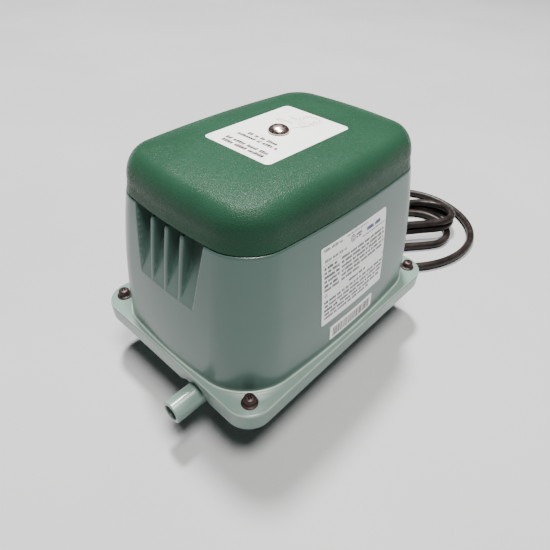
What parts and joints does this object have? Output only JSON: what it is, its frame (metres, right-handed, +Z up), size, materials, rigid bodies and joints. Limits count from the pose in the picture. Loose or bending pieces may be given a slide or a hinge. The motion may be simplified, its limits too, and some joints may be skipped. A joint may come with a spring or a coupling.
{
  "type": "linear diaphragm air pump",
  "caption": "Box-shaped linear diaphragm air pump with a die-cast finned housing, lift-off filter cover, screwed base flange, side outlet nozzle and mains cord.",
  "frame": {"origin": "centre of the footprint on the standing surface, under the rubber feet", "axes": "+X along the length towards the cord gland, -Y the long side with the rating label, +Z up"},
  "size_m": [0.4695, 0.2114, 0.1978],
  "materials": {
    "housing_paint": "semi-gloss pale grey-green paint on a casting",
    "cover_green": "fine leather-grain moulded plastic",
    "bright_steel": "polished",
    "dark_screw": "dark bronzed, semi-gloss",
    "label_film": "printed film",
    "black_rubber": "matt",
    "filter_foam": "open-cell foam",
    "zinc_plate": "zinc plated",
    "laminated_iron": "stacked laminations, varnished",
    "winding_tape": "taped copper winding",
    "magnet_ferrite": "sintered ferrite",
    "black_plastic": "moulded",
    "cord_jacket": "soft PVC jacket"
  },
  "bodies": {
    "housing": {"upper_housing": "housing_paint", "tank": "housing_paint", "outlet_nozzle": "housing_paint", "housing_screw_1": "dark_screw", "housing_screw_2": "dark_screw", "housing_screw_3": "dark_screw", "housing_screw_4": "dark_screw", "rating_label": "label_film", "code_label": "label_film", "tank_gasket": "black_rubber", "rubber_foot_1": "black_rubber", "rubber_foot_2": "black_rubber", "rubber_foot_3": "black_rubber", "rubber_foot_4": "black_rubber", "vibration_mount_1": "black_rubber", "vibration_mount_2": "black_rubber", "vibration_mount_3": "black_rubber", "vibration_mount_4": "black_rubber", "cord_gland": "black_rubber", "diaphragm_outlet_end": "black_rubber", "outlet_hose_outlet_end": "black_rubber", "diaphragm_cord_end": "black_rubber", "outlet_hose_cord_end": "black_rubber", "chamber_lid": "zinc_plate", "foot_screw_1": "zinc_plate", "foot_screw_2": "zinc_plate", "foot_screw_3": "zinc_plate", "foot_screw_4": "zinc_plate", "magnet_frame": "zinc_plate", "magnet_core_front": "laminated_iron", "magnet_core_rear": "laminated_iron", "magnet_coil_front": "winding_tape", "magnet_coil_rear": "winding_tape", "terminal_block": "black_plastic", "protector_switch": "black_plastic", "head_casing_outlet_end": "black_plastic", "head_cover_outlet_end": "black_plastic", "head_casing_cord_end": "black_plastic", "head_cover_cord_end": "black_plastic", "plug": "black_plastic", "cord": "cord_jacket"},
    "cover": {"filter_cover": "cover_green", "cover_label": "label_film"},
    "bolt": {"cover_bolt": "bright_steel", "cover_washer": "black_rubber"},
    "filter": {"air_filter": "filter_foam"},
    "rod": {"drive_rod": "bright_steel", "rod_magnet_outlet_end": "magnet_ferrite", "clamp_disc_outlet_end": "zinc_plate", "rod_nut_outlet_end": "zinc_plate", "rod_magnet_cord_end": "magnet_ferrite", "clamp_disc_cord_end": "zinc_plate", "rod_nut_cord_end": "zinc_plate"},
    "suction_reed_outlet_end": {"suction_flap_outlet_end": "black_rubber"},
    "discharge_reed_outlet_end": {"discharge_flap_outlet_end": "black_rubber"},
    "suction_reed_cord_end": {"suction_flap_cord_end": "black_rubber"},
    "discharge_reed_cord_end": {"discharge_flap_cord_end": "black_rubber"}
  },
  "joints": [
    {"name": "cover_lift", "type": "slide", "parent": "housing", "child": "cover", "axis": [0, 0, 1], "range_m": [0, 0.1]},
    {"name": "bolt_turn", "type": "hinge", "parent": "cover", "child": "bolt", "pos_m": [0, 0, 0.1935], "axis": [0, 0, 1], "continuous": true},
    {"name": "filter_lift", "type": "slide", "parent": "housing", "child": "filter", "axis": [0, 0, 1], "range_m": [0, 0.05]},
    {"name": "rod_slide", "type": "slide", "parent": "housing", "child": "rod", "axis": [1, 0, 0], "range_m": [-0.0015, 0.0015], "stiffness_N_per_m": 3000, "deforming": ["diaphragm_outlet_end", "diaphragm_cord_end"]},
    {"name": "suction_reed_lift_outlet_end", "type": "hinge", "parent": "housing", "child": "suction_reed_outlet_end", "pos_m": [-0.0617, 0, 0.1355], "axis": [0, -1, 0], "range_deg": [0, 12], "stiffness_Nm_per_rad": 0.001},
    {"name": "discharge_reed_lift_outlet_end", "type": "hinge", "parent": "housing", "child": "discharge_reed_outlet_end", "pos_m": [-0.0653, 0, 0.1035], "axis": [0, 1, 0], "range_deg": [0, 12], "stiffness_Nm_per_rad": 0.001},
    {"name": "suction_reed_lift_cord_end", "type": "hinge", "parent": "housing", "child": "suction_reed_cord_end", "pos_m": [0.0617, 0, 0.1355], "axis": [0, 1, 0], "range_deg": [0, 12], "stiffness_Nm_per_rad": 0.001},
    {"name": "discharge_reed_lift_cord_end", "type": "hinge", "parent": "housing", "child": "discharge_reed_cord_end", "pos_m": [0.0653, 0, 0.1035], "axis": [0, -1, 0], "range_deg": [0, 12], "stiffness_Nm_per_rad": 0.001}
  ],
  "couplings": [
    {"joint": "filter_lift", "follows": "cover_lift", "ratio": 0.5}
  ]
}
